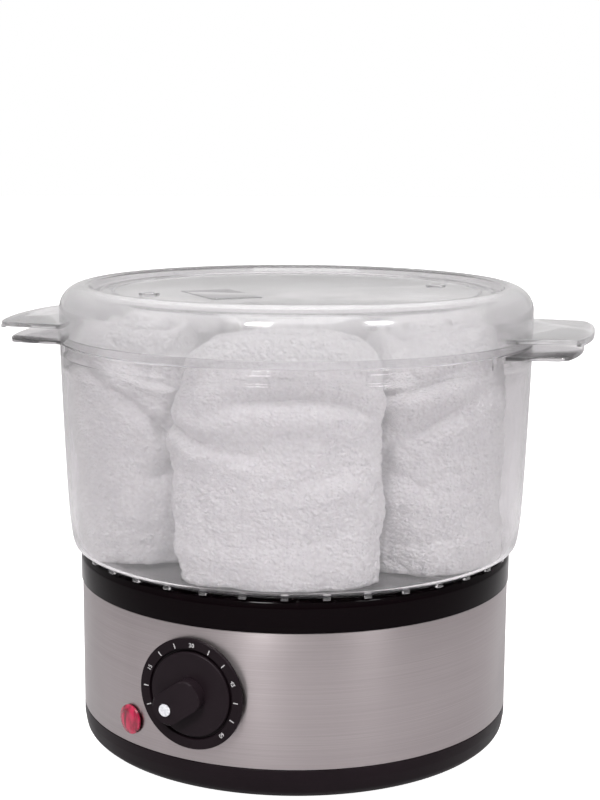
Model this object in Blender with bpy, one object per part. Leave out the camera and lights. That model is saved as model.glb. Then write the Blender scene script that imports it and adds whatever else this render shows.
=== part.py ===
"""Compact towel steamer: round electric base, clear bowl, clear lid, rolled face towels.

Units are metres, +Z is up, the front (timer knob) faces -Y.
The origin is on the vertical axis, at the level the rubber feet stand on.
"""
import math

import bmesh
import bpy
from mathutils import Matrix, Vector

MM = 0.001
SEG = 64                      # segments of the large turned parts
CLEAR = 0.3                   # assembly clearance between touching parts, mm

# ---- driving dimensions, mm -------------------------------------------------
BASE_R = 98.5                 # steel band, outside
BAND_T = 0.6                  # sheet thickness of the band
BAND_LO, BAND_HI = 14.0, 72.6
COVER_LO = 0.9                # underside of the black bottom cover
RIM_R = 99.1                  # glossy black rim
RIM_TOP = 87.2
RIM_LO = BAND_HI + CLEAR
SEAM_R = 92.0                 # where the rim meets the water basin
BASIN_FLOOR = 66.0

BOWL_UNDER_Z, BOWL_FLOOR_Z = RIM_TOP + CLEAR, 89.3     # the bowl stands flat on the rim
TAB_R, TAB_Z = (98.1, 99.7), (86.2, 88.6)              # tabs that hook over the rim's edge
TABS, TAB_W = 36, 2.4
BOWL_R_LO, BOWL_R_HI = 103.0, 106.9
LEDGE_Z = 182.0               # ledge the lid's skirt sits on
LIP_Z = 185.6                 # locating lip inside the lid's skirt

LID_R = 107.15
SKIRT_LO = LEDGE_Z + CLEAR
SHOULDER_Z = 196.5
CREST_Z = 206.8
DISC_Z = 203.3                # sunk top disc
LID_WALL = 2.1

TURN = 12.75                  # the bowl and lid are set down turned, degrees
LID_GRIP_R, LID_GRIP_Z = 134.0, (187.0, 189.0)
BOWL_GRIP_R, BOWL_GRIP_Z = 129.6, (180.0, 181.8)
GRIP_HALF = (41.0, 36.5)      # half width of a grip at the wall and at the tip

DIAL_Z = 44.1                 # timer axis height
DIAL_R = 23.9
DIAL_OUT = 101.3              # distance of the dial ring's face from the axis
DIAL_BACK, DIAL_BOSS = 99.7, 21.2     # back of the ring, radius of the boss behind it
KNOB_R = 18.2
KNOB_OUT = 107.0              # distance of the grip's face from the axis
KNOB_OFF = 234.5              # pointer at "off", degrees clockwise from straight up
BAR_HALF, BAR_FRONT, BAR_BACK = 6.9, 16.4, 9.0     # the knob's bar: half width, reach each way
DOT_AT, DOT_R = 11.4, 2.72
LAMP_AZ = -109.4              # pilot lamp, degrees round the base
LAMP_Z = 25.0
GLAND_AZ, GLAND_Z = 90.0, 28.0

# towels: azimuth, distance from the axis, half width, half depth
TOWELS = [(-70.3, 74.3, 43.6, 24.0), (-8.9, 70.6, 32.6, 28.0), (51.1, 70.6, 32.6, 28.0),
          (110.0, 70.6, 32.6, 28.0), (169.0, 70.6, 32.6, 28.0), (228.3, 70.6, 32.6, 28.0)]
TOWEL_Z = (BOWL_FLOOR_Z + 0.7, 195.4)
TOWEL_SEG = 28


# ---- helpers ------------------------------------------------------------------
def clear_scene():
    for ob in list(bpy.data.objects):
        bpy.data.objects.remove(ob, do_unlink=True)


def material(name, color, rough, metal=0.0, alpha_like=0.0):
    mat = bpy.data.materials.get(name) or bpy.data.materials.new(name)
    mat.use_nodes = True
    bsdf = mat.node_tree.nodes["Principled BSDF"]
    bsdf.inputs["Base Color"].default_value = (*color, 1.0)
    bsdf.inputs["Roughness"].default_value = rough
    bsdf.inputs["Metallic"].default_value = metal
    bsdf.inputs["Transmission Weight"].default_value = alpha_like
    mat.diffuse_color = (*color, 1.0 - 0.65 * alpha_like)
    return mat


def finish(name, bm, mat, smooth=40.0):
    bmesh.ops.remove_doubles(bm, verts=bm.verts, dist=1e-7)
    bmesh.ops.recalc_face_normals(bm, faces=bm.faces)
    mesh = bpy.data.meshes.new(name)
    bm.to_mesh(mesh)
    bm.free()
    mesh.polygons.foreach_set("use_smooth", [smooth > 0] * len(mesh.polygons))
    if smooth > 0:
        mesh.set_sharp_from_angle(angle=math.radians(smooth))
    ob = bpy.data.objects.new(name, mesh)
    bpy.context.collection.objects.link(ob)
    mesh.materials.append(mat)
    return ob


def turned(bm, profile, seg=SEG):
    """Add the solid turned from a closed (r, z) outline in mm about local Z."""
    rings = []
    for r, z in profile:
        if r < 1e-6:
            rings.append([bm.verts.new((0.0, 0.0, z * MM))])
        else:
            rings.append([bm.verts.new((r * MM * math.cos(2 * math.pi * i / seg),
                                        r * MM * math.sin(2 * math.pi * i / seg), z * MM))
                          for i in range(seg)])
    for a, b in zip(rings, rings[1:] + rings[:1]):
        for i in range(seg):
            j = (i + 1) % seg
            if len(a) > 1 and len(b) > 1:
                bm.faces.new((a[i], a[j], b[j], b[i]))
            elif len(a) > 1:
                bm.faces.new((a[i], a[j], b[0]))
            elif len(b) > 1:
                bm.faces.new((a[0], b[j], b[i]))


def lathe(name, profile, mat, seg=SEG, smooth=40.0):
    bm = bmesh.new()
    turned(bm, profile, seg)
    return finish(name, bm, mat, smooth)


def prism(bm, outline, z0, z1):
    """Add the solid between z0 and z1 (mm) over an (x, y) outline in mm."""
    lo = [bm.verts.new((x * MM, y * MM, z0 * MM)) for x, y in outline]
    hi = [bm.verts.new((x * MM, y * MM, z1 * MM)) for x, y in outline]
    n = len(outline)
    bm.faces.new(list(reversed(lo)))
    bm.faces.new(hi)
    for i in range(n):
        j = (i + 1) % n
        bm.faces.new((lo[i], lo[j], hi[j], hi[i]))


def block(bm, size, center, turn=0.0):
    """Add a box of the given size, turned about Z by `turn` degrees round the origin."""
    rot = Matrix.Rotation(math.radians(turn), 4, "Z")
    made = bmesh.ops.create_cube(bm, size=1.0)["verts"]
    for v in made:
        v.co = rot @ Vector([(c + s * k) * MM for c, s, k in zip(center, size, v.co)])


def cutter(name, bm):
    ob = finish(name, bm, material("cutting_tool", (0.8, 0.2, 0.2), 0.5), smooth=0)
    ob.hide_render = True
    ob.display_type = "WIRE"
    return ob


def boolean(ob, other, op):
    mod = ob.modifiers.new(op.lower(), "BOOLEAN")
    mod.operation = op
    mod.solver = "EXACT"
    mod.object = other
    return mod


def radial(ob, azimuth, z, out=0.0):
    """Point local Z outward at an azimuth; local Y runs to the right, local X down."""
    a = math.radians(azimuth)
    ob.rotation_euler = (0.0, math.pi / 2, a)
    ob.location = (out * MM * math.cos(a), out * MM * math.sin(a), z * MM)
    return ob


def ellipse_arc(r0, z0, r1, z1, n):
    """Quarter ellipse from (r0, z0), level there, to (r1, z1), upright there."""
    return [(r0 + (r1 - r0) * math.sin(k / n * math.pi / 2),
             z1 + (z0 - z1) * math.cos(k / n * math.pi / 2)) for k in range(n + 1)]


def grip_outline(r_in, r_tip, turn, inset=0.0):
    """Outline of one grip: almost parallel sides, the tip an arc about the main axis."""
    w0, w1 = GRIP_HALF[0], GRIP_HALF[1]
    tip = math.asin(w1 / r_tip)
    pts = [(math.sqrt(r_in ** 2 - w0 ** 2), -w0)]
    pts.append(((r_tip - 3.2) * math.cos(tip), -w1 - 0.5))
    n = 10
    for k in range(n + 1):
        a = -tip * 0.955 + 2 * tip * 0.955 * k / n
        pts.append((r_tip * math.cos(a), r_tip * math.sin(a)))
    pts.append(((r_tip - 3.2) * math.cos(tip), w1 + 0.5))
    pts.append((math.sqrt(r_in ** 2 - w0 ** 2), w0))
    for k in range(1, 6):
        a = math.asin(w0 / r_in) * (1 - k / 3.0)
        pts.append((r_in * math.cos(a), r_in * math.sin(a)))
    c, s = math.cos(math.radians(turn)), math.sin(math.radians(turn))
    return [(x * c - y * s, x * s + y * c) for x, y in pts]


def arc_strip(r0, r1, half, turn, n=10):
    a = [math.radians(turn) + half * (2 * k / n - 1) for k in range(n + 1)]
    return ([(r1 * math.cos(t), r1 * math.sin(t)) for t in a]
            + [(r0 * math.cos(t), r0 * math.sin(t)) for t in reversed(a)])


clear_scene()

# ---- materials ------------------------------------------------------------------
BLACK_SATIN = material("black_satin_plastic", (0.012, 0.010, 0.011), 0.42)
BLACK_GLOSS = material("black_gloss_plastic", (0.008, 0.007, 0.008), 0.14)
STEEL = material("brushed_steel", (0.56, 0.52, 0.51), 0.32, 1.0)
ZINC = material("zinc_plated_steel", (0.62, 0.62, 0.60), 0.30, 1.0)
HEATER = material("heater_aluminium", (0.66, 0.67, 0.68), 0.35, 1.0)
CLEAR_PS = material("clear_plastic", (0.95, 0.95, 0.96), 0.05, 0.0, 1.0)
RED = material("red_lens", (0.75, 0.02, 0.06), 0.15, 0.0, 0.4)
WHITE = material("white_mark", (0.85, 0.85, 0.85), 0.5)
RUBBER = material("grey_rubber", (0.05, 0.05, 0.05), 0.8)
SILICONE = material("white_silicone", (0.8, 0.78, 0.74), 0.6)
BAKELITE = material("brown_phenolic", (0.10, 0.05, 0.03), 0.5)
NYLON = material("natural_nylon", (0.72, 0.70, 0.64), 0.5)
TERRY = material("white_terry", (0.86, 0.85, 0.85), 0.95)


# ---- base: bottom cover, feet, screws -----------------------------------------
FOOT_RING, SCREW_RING = 80.0, 62.0
cover = lathe("bottom_cover", [
    (98.5, 13.7), (98.5, 8.6), (98.2, 5.4), (97.2, 2.7), (95.3, COVER_LO), (0, COVER_LO),
    (0, 3.3), (93.8, 3.3), (95.9, 6.4), (95.9, 16.6), (97.5, 16.6), (97.5, 13.7)], BLACK_SATIN)

bm = bmesh.new()
for k in range(4):
    turn = 45 + 90 * k
    for r, z0, z1, ring in ((7.4, -1, 2.1, FOOT_RING), (4.0, -1, 2.0, SCREW_RING)):
        at = (Matrix.Rotation(math.radians(turn), 4, "Z")
              @ Matrix.Translation((ring * MM, 0, (z0 + z1) / 2 * MM)))
        bmesh.ops.create_cone(bm, cap_ends=True, segments=20, radius1=r * MM, radius2=r * MM,
                              depth=(z1 - z0) * MM, matrix=at)
pockets = cutter("cover_pocket_tool", bm)
boolean(cover, pockets, "DIFFERENCE")
bm = bmesh.new()
for k in range(4):
    at = (Matrix.Rotation(math.radians(45 + 90 * k), 4, "Z")
          @ Matrix.Translation((SCREW_RING * MM, 0, 5.0 * MM)))
    bmesh.ops.create_cone(bm, cap_ends=True, segments=16, radius1=1.9 * MM, radius2=1.9 * MM,
                          depth=12 * MM, matrix=at)
for side in (-1, 1):                                   # cooling slots in the underside
    for k in range(5):
        block(bm, (30, 2.6, 12), (0, side * 8.0 * (k + 1) - side * 4, 3))
boolean(cover, cutter("cover_slot_tool", bm), "DIFFERENCE")

for k in range(4):
    a = math.radians(45 + 90 * k)
    foot = lathe(f"rubber_foot_{k + 1}", [(0, 0), (6.4, 0), (7.0, 0.6), (7.0, 1.8), (0, 1.8)],
                 RUBBER, 24)
    foot.location = (FOOT_RING * MM * math.cos(a), FOOT_RING * MM * math.sin(a), 0)
    screw = lathe(f"cover_screw_{k + 1}", [
        (0, 0.75), (1.0, 0.75), (1.0, 1.15), (3.0, 1.15), (3.5, 1.4), (3.5, 1.7), (1.5, 1.7),
        (1.5, 16.0), (1.0, 17.0), (0, 17.0)], ZINC, 12)
    screw.location = (SCREW_RING * MM * math.cos(a), SCREW_RING * MM * math.sin(a), 0)

# ---- base: steel band -----------------------------------------------------------
band = lathe("steel_band", [(BASE_R, BAND_LO), (BASE_R, BAND_HI), (BASE_R - BAND_T, BAND_HI),
                            (BASE_R - BAND_T, BAND_LO)], STEEL)
bm = bmesh.new()
for az, z, r in ((-90.0, DIAL_Z, 5.0), (LAMP_AZ, LAMP_Z, 4.6), (GLAND_AZ, GLAND_Z, 5.4)):
    a = math.radians(az)
    at = (Matrix.Translation((BASE_R * MM * math.cos(a), BASE_R * MM * math.sin(a), z * MM))
          @ Matrix.Rotation(a, 4, "Z") @ Matrix.Rotation(math.pi / 2, 4, "Y"))
    bmesh.ops.create_cone(bm, cap_ends=True, segments=24, radius1=r * MM, radius2=r * MM,
                          depth=14 * MM, matrix=at)
boolean(band, cutter("band_hole_tool", bm), "DIFFERENCE")

# ---- base: glossy rim, water basin, pillars ---------------------------------------
lathe("gloss_rim", [
    (RIM_R, RIM_LO), (RIM_R, 82.9), (98.5, 85.2), (97.0, 86.6), (94.8, RIM_TOP), (SEAM_R, RIM_TOP),
    (SEAM_R, 84.2), (93.6, 84.3), (96.0, 82.4), (96.0, 66.6), (97.5, 66.6), (97.5, RIM_LO)],
    BLACK_GLOSS)
lathe("water_basin", [
    (SEAM_R - CLEAR, RIM_TOP), (90.4, RIM_TOP), (89.2, 86.7), (88.7, 85.4), (78.5, 70.6),
    (75.6, 67.4), (71.6, BASIN_FLOOR), (22.0, BASIN_FLOOR), (22.0, 63.6), (73.0, 63.6),
    (77.6, 66.0), (80.6, 69.4), (90.6, 83.6), (SEAM_R - CLEAR, 84.0)], BLACK_GLOSS)
for k in range(4):                                     # pillars between cover and basin
    a = math.radians(45 + 90 * k)
    pillar = lathe(f"pillar_{k + 1}", [(4.4, 3.6), (4.4, 63.3), (1.9, 63.3), (1.9, 3.6)], NYLON, 16)
    pillar.location = (SCREW_RING * MM * math.cos(a), SCREW_RING * MM * math.sin(a), 0)

# ---- base: heater under the basin floor -------------------------------------------
lathe("heater_plate", [
    (0, 70.6), (14, 70.6), (24, 69.8), (30.6, 68.4), (31.0, 67.8), (31.0, 67.0), (21.4, 67.0),
    (21.4, 58.0), (0, 58.0)], HEATER, 32)
lathe("heater_gasket", [(22.6, 66.3), (30.4, 66.3), (30.4, 66.7), (22.6, 66.7)], SILICONE, 32)
lathe("heater_clamp", [(21.8, 61.6), (33.0, 61.6), (33.0, 63.3), (21.8, 63.3)], ZINC, 32)
thermostat = lathe("thermostat", [
    (0, 57.7), (8.0, 57.7), (8.0, 55.6), (10.5, 55.4), (10.5, 54.4), (7.6, 54.2), (7.6, 47.0),
    (0, 47.0)], BAKELITE, 20)
fuse = lathe("thermal_fuse", [(0, -9), (1.2, -9), (2.1, -8.2), (2.1, 8.2), (1.2, 9), (0, 9)],
             NYLON, 16)
fuse.rotation_euler = (math.pi / 2, 0, math.radians(20))
fuse.location = (15.5 * MM, 0, 55.2 * MM)

bm = bmesh.new()
block(bm, (26, 11, 12), (0, 0, 0))
terminal = finish("terminal_block", bm, NYLON, smooth=0)
terminal.location = (-26 * MM, 52 * MM, 57.0 * MM)
bev = terminal.modifiers.new("edges", "BEVEL")
bev.width, bev.segments = 1.2 * MM, 2

# ---- base: timer -----------------------------------------------------------------
FRONT = -90.0
bm = bmesh.new()
block(bm, (34, 40, 19), (0, 0, 0))
timer = radial(finish("timer_body", bm, BAKELITE, smooth=0), FRONT, DIAL_Z, 82.6)
bev = timer.modifiers.new("edges", "BEVEL")
bev.width, bev.segments = 1.5 * MM, 2
bm = bmesh.new()
turned(bm, [(0, 5.0), (3.5, 5.0), (3.5, 12.0), (0, 12.0)], 24)
boolean(timer, radial(cutter("timer_bore_tool", bm), FRONT, DIAL_Z, 82.6), "DIFFERENCE")

bm = bmesh.new()
block(bm, (32, 34, 1.0), (0, 0, 0))
bracket = radial(finish("timer_bracket", bm, ZINC, smooth=0), FRONT, DIAL_Z, 93.0)
bm = bmesh.new()
turned(bm, [(0, -3), (4.6, -3), (4.6, 3), (0, 3)], 24)
for side in (-1, 1):
    at = Matrix.Translation((0, side * 12.0 * MM, 0))
    bmesh.ops.create_cone(bm, cap_ends=True, segments=16, radius1=1.8 * MM, radius2=1.8 * MM,
                          depth=6 * MM, matrix=at)
boolean(bracket, radial(cutter("bracket_hole_tool", bm), FRONT, DIAL_Z, 93.0), "DIFFERENCE")
bm = bmesh.new()
for side in (-1, 1):
    at = Matrix.Translation((0, side * 12.0 * MM, 0))
    bmesh.ops.create_cone(bm, cap_ends=True, segments=16, radius1=1.8 * MM, radius2=1.8 * MM,
                          depth=9 * MM, matrix=at)
boolean(timer, radial(cutter("timer_screw_bore_tool", bm), FRONT, DIAL_Z, 90.4), "DIFFERENCE")
for k, side in enumerate((-1, 1)):
    s = radial(lathe(f"timer_screw_{k + 1}", [
        (0, -5.5), (1.4, -5.5), (1.4, 0.8), (2.7, 0.8), (2.7, 1.9), (2.2, 2.3), (0, 2.3)],
        ZINC, 12), FRONT, DIAL_Z, 93.0)
    s.location.x += side * 12.0 * MM

dial = radial(lathe("dial_plate", [
    (DIAL_R, DIAL_BACK), (DIAL_R, DIAL_OUT - 0.4), (DIAL_R - 0.5, DIAL_OUT), (19.5, DIAL_OUT),
    (19.3, 99.8), (4.6, 99.8), (4.6, 94.0), (DIAL_BOSS, 94.0), (DIAL_BOSS, DIAL_BACK)],
    BLACK_SATIN, 40),
    FRONT, DIAL_Z)
bm = bmesh.new()
turned(bm, [(0, 10), (98.8, 10), (98.8, 80), (0, 80)], 96)
boolean(dial, cutter("dial_back_tool", bm), "DIFFERENCE")

# ---- knob: turns on the timer axis -------------------------------------------------
hinge = bpy.data.objects.new("knob_axis", None)
hinge.empty_display_size = 0.02
bpy.context.collection.objects.link(hinge)
hinge.location = (0, -0.1, DIAL_Z * MM)


def on_knob(ob, spin=0.0):
    """Put a part drawn with local Z outward and local X down onto the knob's axis."""
    turn = math.radians(spin)
    ob.matrix_world = (Matrix.Translation((0, 0, DIAL_Z * MM))
                       @ Matrix.Rotation(math.radians(FRONT), 4, "Z")
                       @ Matrix.Rotation(math.pi / 2, 4, "Y") @ Matrix.Rotation(turn, 4, "Z"))
    return ob


# local X is down, so the pointer direction is local +X turned by (180 - KNOB_OFF)
POINT = 180.0 - KNOB_OFF
knob = on_knob(lathe("knob", [
    (KNOB_R, 100.3), (KNOB_R, 101.0), (KNOB_R - 0.7, 101.7), (14.0, 101.9), (0, 101.9),
    (0, 100.3)], BLACK_SATIN, 40), POINT)
bm = bmesh.new()
outline = []
for k in range(9):
    a = -math.pi / 2 + math.pi * k / 8
    outline.append((BAR_FRONT - BAR_HALF * 0.62 * (1 - math.cos(a)), BAR_HALF * math.sin(a)))
for k in range(9):
    a = math.pi / 2 + math.pi * k / 8
    outline.append((-BAR_BACK + BAR_HALF * 0.8 * (1 + math.cos(a)), BAR_HALF * math.sin(a)))
lo = [bm.verts.new((x * MM * 1.03, y * MM * 1.10, 101.0 * MM)) for x, y in outline]
mid = [bm.verts.new((x * MM, y * MM, (KNOB_OUT - 0.7) * MM)) for x, y in outline]
hi = [bm.verts.new((x * MM * 0.955, y * MM * 0.90, KNOB_OUT * MM)) for x, y in outline]
bm.faces.new(list(reversed(lo)))
bm.faces.new(hi)
for ring_a, ring_b in ((lo, mid), (mid, hi)):
    for i in range(len(outline)):
        j = (i + 1) % len(outline)
        bm.faces.new((ring_a[i], ring_a[j], ring_b[j], ring_b[i]))
boolean(knob, on_knob(cutter("knob_grip_shape", bm), POINT), "UNION")
bm = bmesh.new()
turned(bm, [(0, 99.0), (3.4, 99.0), (3.4, 104.6), (0, 104.6)], 24)
boolean(knob, on_knob(cutter("knob_bore_tool", bm), POINT), "DIFFERENCE")
bm = bmesh.new()
turned(bm, [(0, KNOB_OUT - 0.8), (DOT_R + 0.23, KNOB_OUT - 0.8), (DOT_R + 0.23, KNOB_OUT + 2),
            (0, KNOB_OUT + 2)], 28)
bmesh.ops.translate(bm, verts=bm.verts, vec=(DOT_AT * MM, 0, 0))
boolean(knob, on_knob(cutter("dot_pocket_tool", bm), POINT), "DIFFERENCE")

bm = bmesh.new()
turned(bm, [(0, KNOB_OUT - 0.55), (DOT_R, KNOB_OUT - 0.55), (DOT_R, KNOB_OUT - 0.05),
            (DOT_R - 0.32, KNOB_OUT), (0, KNOB_OUT)], 28)
bmesh.ops.translate(bm, verts=bm.verts, vec=(DOT_AT * MM, 0, 0))
dot = on_knob(finish("pointer_dot", bm, WHITE), POINT)
shaft = on_knob(lathe("timer_shaft", [(0, 88.2), (3.1, 88.2), (3.1, 104.2), (0, 104.2)], ZINC, 24),
                POINT)
for ob in (knob, dot, shaft):
    world = ob.matrix_world.copy()
    ob.parent = hinge
    ob.matrix_parent_inverse = Matrix.Translation(-hinge.location)
    ob.matrix_basis = world

# ---- pilot lamp ------------------------------------------------------------------
radial(lathe("lamp_lens", [
    (6.45, 98.9), (6.45, 99.5), (5.9, 100.3), (4.2, 100.9), (2.2, 101.2), (0, 101.3), (0, 90.0),
    (4.0, 90.0), (4.0, 98.9)], RED, 32), LAMP_AZ, LAMP_Z)
radial(lathe("lamp_nut", [(4.4, 94.0), (7.4, 94.0), (7.4, 96.8), (4.4, 96.8)], BLACK_SATIN, 6 * 5),
       LAMP_AZ, LAMP_Z)
radial(lathe("neon_lamp", [(0, 76.0), (2.0, 76.6), (2.6, 78.2), (2.6, 89.0), (0, 89.7)], NYLON, 16),
       LAMP_AZ, LAMP_Z)

# ---- cord gland at the back ---------------------------------------------------------
radial(lathe("cord_gland", [
    (3.4, 90.0), (4.9, 90.0), (4.9, 98.9), (7.4, 98.9), (7.4, 100.6), (6.4, 101.4), (5.2, 105.6),
    (4.8, 106.2), (3.4, 106.2)], BLACK_SATIN, 20), GLAND_AZ, GLAND_Z)
radial(lathe("gland_clip", [(5.3, 94.4), (8.2, 94.4), (8.2, 96.9), (5.3, 96.9)], NYLON, 20),
       GLAND_AZ, GLAND_Z)

# ---- bowl -------------------------------------------------------------------------
bowl = lathe("bowl", [
    (BOWL_R_LO, 93.7), (104.1, 107.0), (105.6, 135.0), (106.4, 160.0), (BOWL_R_HI, 176.4),
    (107.15, 176.9), (107.15, LEDGE_Z), (104.7, LEDGE_Z), (104.5, LIP_Z), (102.9, LIP_Z),
    (102.9, 181.0), (104.6, 176.6), (104.1, 160.0), (103.3, 135.0), (101.8, 107.0),
    (100.7, 93.9), (99.5, 91.2), (97.0, BOWL_FLOOR_Z), (0, BOWL_FLOOR_Z), (0, BOWL_UNDER_Z),
    (98.2, BOWL_UNDER_Z), (100.6, 88.4), (102.3, 90.5)], CLEAR_PS)
bm = bmesh.new()
for turn in (TURN, TURN + 180):
    prism(bm, grip_outline(105.9, BOWL_GRIP_R, turn), *BOWL_GRIP_Z)
boolean(bowl, cutter("bowl_grip_shape", bm), "UNION")
bm = bmesh.new()
for k in range(TABS):
    block(bm, (TAB_R[1] - TAB_R[0], TAB_W, TAB_Z[1] - TAB_Z[0]),
          (sum(TAB_R) / 2, 0, sum(TAB_Z) / 2), 360 / TABS * k + TURN)
boolean(bowl, cutter("bowl_tab_shape", bm), "UNION")
bm = bmesh.new()
for k in range(12):                                     # steam slots in the bowl floor
    block(bm, (22, 4.0, 8), (62, 0, 90.5), 30 * k + TURN)
for k in range(6):
    block(bm, (14, 4.0, 8), (30, 0, 90.5), 60 * k + TURN)
boolean(bowl, cutter("bowl_slot_tool", bm), "DIFFERENCE")

# ---- lid --------------------------------------------------------------------------
outer = ellipse_arc(95.6, CREST_Z, LID_R - 0.15, SHOULDER_Z, 5)
inner = ellipse_arc(95.8, CREST_Z - LID_WALL, LID_R - 0.15 - LID_WALL, SHOULDER_Z - 1.0, 4)
lid = lathe("lid", outer + [(LID_R, SKIRT_LO), (LID_R - 2.0, SKIRT_LO)] + list(reversed(inner)) + [
    (93.4, DISC_Z - LID_WALL + 0.4), (91.6, DISC_Z - LID_WALL), (0, DISC_Z - LID_WALL), (0, DISC_Z),
    (82.2, DISC_Z), (82.9, DISC_Z + 0.6), (83.6, DISC_Z), (88.0, DISC_Z), (88.7, DISC_Z + 0.6),
    (89.4, DISC_Z), (92.2, DISC_Z), (94.0, CREST_Z - 0.7)], CLEAR_PS)
bm = bmesh.new()
for turn in (TURN, TURN + 180):
    prism(bm, grip_outline(106.0, LID_GRIP_R, turn), *LID_GRIP_Z)
boolean(lid, cutter("lid_grip_shape", bm), "UNION")
bm = bmesh.new()
half = math.asin(GRIP_HALF[1] / LID_GRIP_R) * 0.95
for turn in (TURN, TURN + 180):                          # turned-down lip at each tip
    prism(bm, arc_strip(LID_GRIP_R - 1.9, LID_GRIP_R - 0.05, half, turn), 186.0, 188.0)
boolean(lid, cutter("lid_lip_shape", bm), "UNION")
bm = bmesh.new()
block(bm, (23.0, 38.0, 1.6), (-15.5, -44.0, DISC_Z), 25.1)   # plain raised pad
boolean(lid, cutter("lid_pad_shape", bm), "UNION")
bm = bmesh.new()
for turn in (43.8, 223.8):                               # steam vents
    at = (Matrix.Rotation(math.radians(turn), 4, "Z")
          @ Matrix.Translation((68.6 * MM, 0, DISC_Z * MM)))
    bmesh.ops.create_cone(bm, cap_ends=True, segments=20, radius1=2.6 * MM, radius2=2.6 * MM,
                          depth=12 * MM, matrix=at)
boolean(lid, cutter("lid_vent_tool", bm), "DIFFERENCE")

# ---- rolled face towels --------------------------------------------------------------
for k, (az, dist, half_w, half_d) in enumerate(TOWELS):
    z0, z1 = TOWEL_Z
    bm = bmesh.new()
    rings = []
    for f, z in ((0.93, z0), (1.0, z0 + 4), (1.0, z1 - 5), (0.92, z1)):
        rings.append([bm.verts.new((f * half_d * MM * math.cos(t), f * half_w * MM * math.sin(t),
                                    z * MM))
                      for t in [2 * math.pi * i / TOWEL_SEG for i in range(TOWEL_SEG)]])
    bm.faces.new(list(reversed(rings[0])))
    bm.faces.new(rings[-1])
    for a, b in zip(rings, rings[1:]):
        for i in range(TOWEL_SEG):
            j = (i + 1) % TOWEL_SEG
            bm.faces.new((a[i], a[j], b[j], b[i]))
    towel = finish(f"towel_{k + 1}", bm, TERRY, smooth=60)
    a = math.radians(az)
    towel.location = (dist * MM * math.cos(a), dist * MM * math.sin(a), 0)
    towel.rotation_euler = (0, 0, a)
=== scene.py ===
"""Looks of a compact towel steamer: a round electric base with a steel band and a timer, a clear
bowl and lid, and six rolled face cloths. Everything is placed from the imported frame. Lengths in
the builders below are millimetres; they become metres when a mesh is made.
"""

import math
import random

import bmesh
import bpy
from mathutils import Matrix, Vector, noise


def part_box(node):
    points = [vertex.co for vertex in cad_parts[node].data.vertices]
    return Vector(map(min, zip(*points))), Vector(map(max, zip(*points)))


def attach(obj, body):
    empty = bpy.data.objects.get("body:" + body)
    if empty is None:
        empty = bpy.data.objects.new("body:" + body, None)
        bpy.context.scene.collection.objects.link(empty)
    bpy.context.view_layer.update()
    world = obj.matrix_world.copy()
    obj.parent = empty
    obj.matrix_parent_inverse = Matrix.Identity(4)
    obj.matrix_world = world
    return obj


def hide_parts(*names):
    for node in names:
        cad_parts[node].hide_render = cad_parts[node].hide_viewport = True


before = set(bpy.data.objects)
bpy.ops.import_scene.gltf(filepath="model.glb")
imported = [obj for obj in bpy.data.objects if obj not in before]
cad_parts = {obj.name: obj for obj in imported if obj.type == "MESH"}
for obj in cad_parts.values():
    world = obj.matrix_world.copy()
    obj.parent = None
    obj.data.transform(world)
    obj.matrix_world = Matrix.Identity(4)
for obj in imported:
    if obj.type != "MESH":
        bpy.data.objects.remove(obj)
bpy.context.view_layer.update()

MM = 0.001
X, Y, Z = 0, 1, 2


def span(node, axis):
    """Lowest and highest coordinate of a CAD node along one axis, in mm."""
    low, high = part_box(node)
    return low[axis] / MM, high[axis] / MM


def centre(node):
    """Middle of a CAD node's box, in mm."""
    low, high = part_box(node)
    return (low + high) / 2 / MM


# ---- places and sizes read from the frame, mm ----
BASE_R = span("steel_band", X)[1]
BAND_LO, BAND_HI = span("steel_band", Z)
COVER_LO = span("bottom_cover", Z)[0]
RIM_R = span("gloss_rim", X)[1]
RIM_TOP = span("gloss_rim", Z)[1]
BASIN_DEPTH = 21.2
BASIN_FLOOR = RIM_TOP - BASIN_DEPTH
SEAM_R = 92.0                 # where the rim meets the water basin
BOWL_HOOK_Z, LIP_Z = span("bowl", Z)
BOWL_R = span("bowl", Y)[1]
LID_R = span("lid", Y)[1]
SKIRT_LO, CREST_Z = span("lid", Z)
DIAL_R = (span("dial_plate", X)[1] - span("dial_plate", X)[0]) / 2
DIAL_Z = centre("dial_plate")[Z]
DIAL_OUT = -span("dial_plate", Y)[0]
DIAL_BACK, DIAL_BOSS = DIAL_OUT - 1.6, 21.2         # back of its flange, radius of its boss
DIAL_DISH, BOSS_BACK = 99.8, 94.0                   # its sunk face, the boss's back
KNOB_BACK, SKIRT_OUT = 100.3, 101.9                 # back and face of the knob's skirt
KNOB_OUT = -span("knob", Y)[0]
DOT = centre("pointer_dot")
LAMP = centre("lamp_lens")
GLAND = centre("cord_gland")
TOWEL_LO = span("towel_1", Z)[0]

# ---- sizes of the finer shapes, mm ----
CLEAR = 0.3                   # gap kept between touching parts
BAND_T = 0.6
BOWL_WALL = 2.3
FLOOR_T = 1.8
BOWL_R_FOOT = 103.0
LEDGE_Z = SKIRT_LO - CLEAR
BOWL_FLOOR_Z = span("towel_1", Z)[0] - 0.7
BOWL_UNDER_Z = BOWL_FLOOR_Z - FLOOR_T
TABS, TAB_R = 36, (98.1, 99.7)          # the bowl's tabs, which hook over the rim
TAB_WIDTH, TAB_HEIGHT, TAB_RISE = 3.0, 1.7, 1.45
LID_WALL = 2.1
DISC_Z = CREST_Z - 3.5
SHOULDER_Z = CREST_Z - 10.3
TURN = 12.75                  # the bowl and lid stand turned by this much, degrees
GRIP_HALF = (41.0, 36.5)      # half width of a grip at the wall and at the tip
LID_GRIP_R, LID_GRIP_Z = 134.0, (187.0, 189.0)
BOWL_GRIP_R, BOWL_GRIP_Z = 129.6, (180.0, 181.8)
KNOB_R = 18.2
POINT_AT = math.atan2(DOT[X], DOT[Z] - DIAL_Z)      # pointer, clockwise from straight up
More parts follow.
